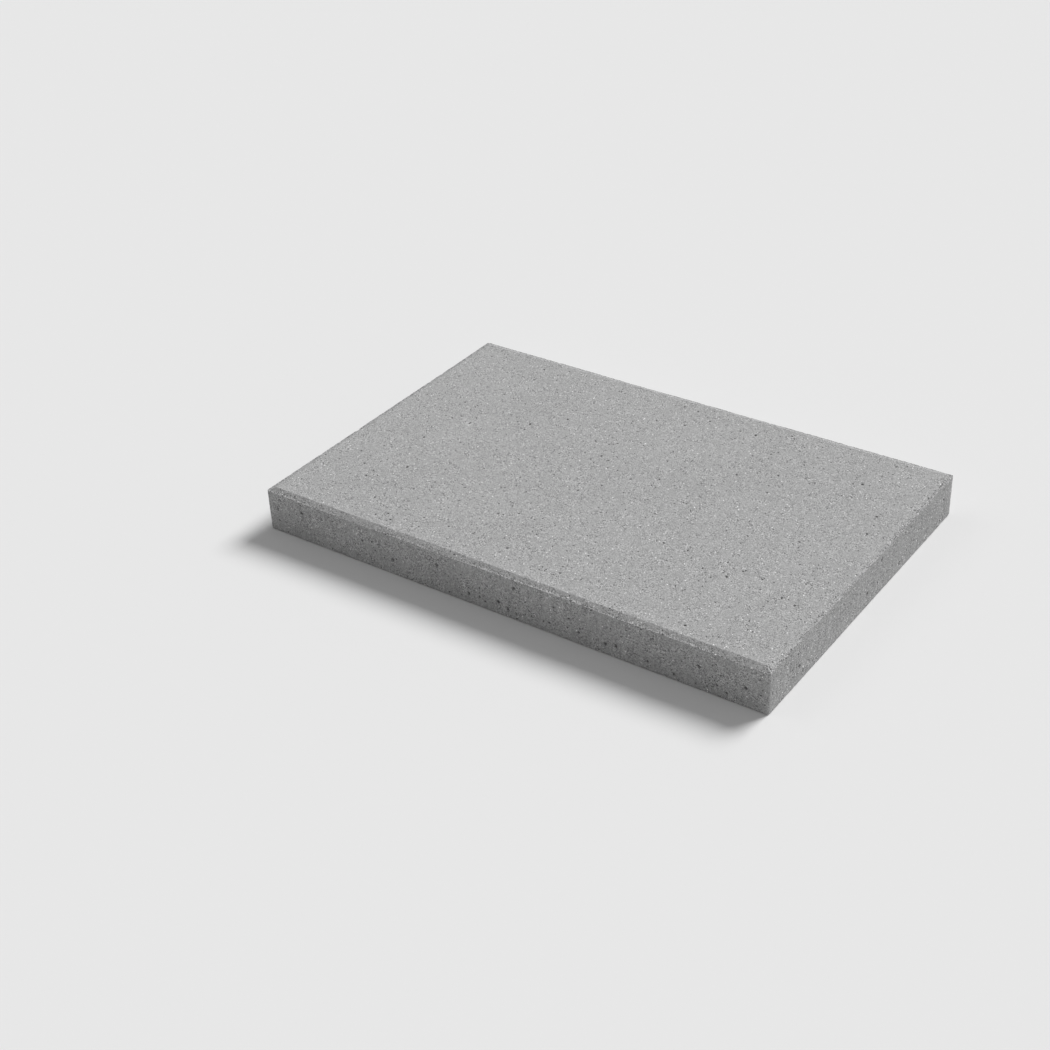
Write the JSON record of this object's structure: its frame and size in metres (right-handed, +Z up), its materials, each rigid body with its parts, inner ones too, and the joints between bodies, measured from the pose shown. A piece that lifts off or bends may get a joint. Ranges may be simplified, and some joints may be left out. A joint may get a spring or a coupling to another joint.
{
  "type": "concrete paving slab",
  "caption": "Rectangular grey concrete paving slab with a flat wearing face and a shallow bevel and narrow ledge around its top edge.",
  "frame": {"origin": "centre of the underside", "axes": "+X along the long side, +Y along the short side, +Z up out of the wearing face"},
  "size_m": [0.6, 0.4, 0.05],
  "materials": {
    "concrete": "matte"
  },
  "bodies": {
    "root": {"paving_slab": "concrete"}
  },
  "joints": []
}
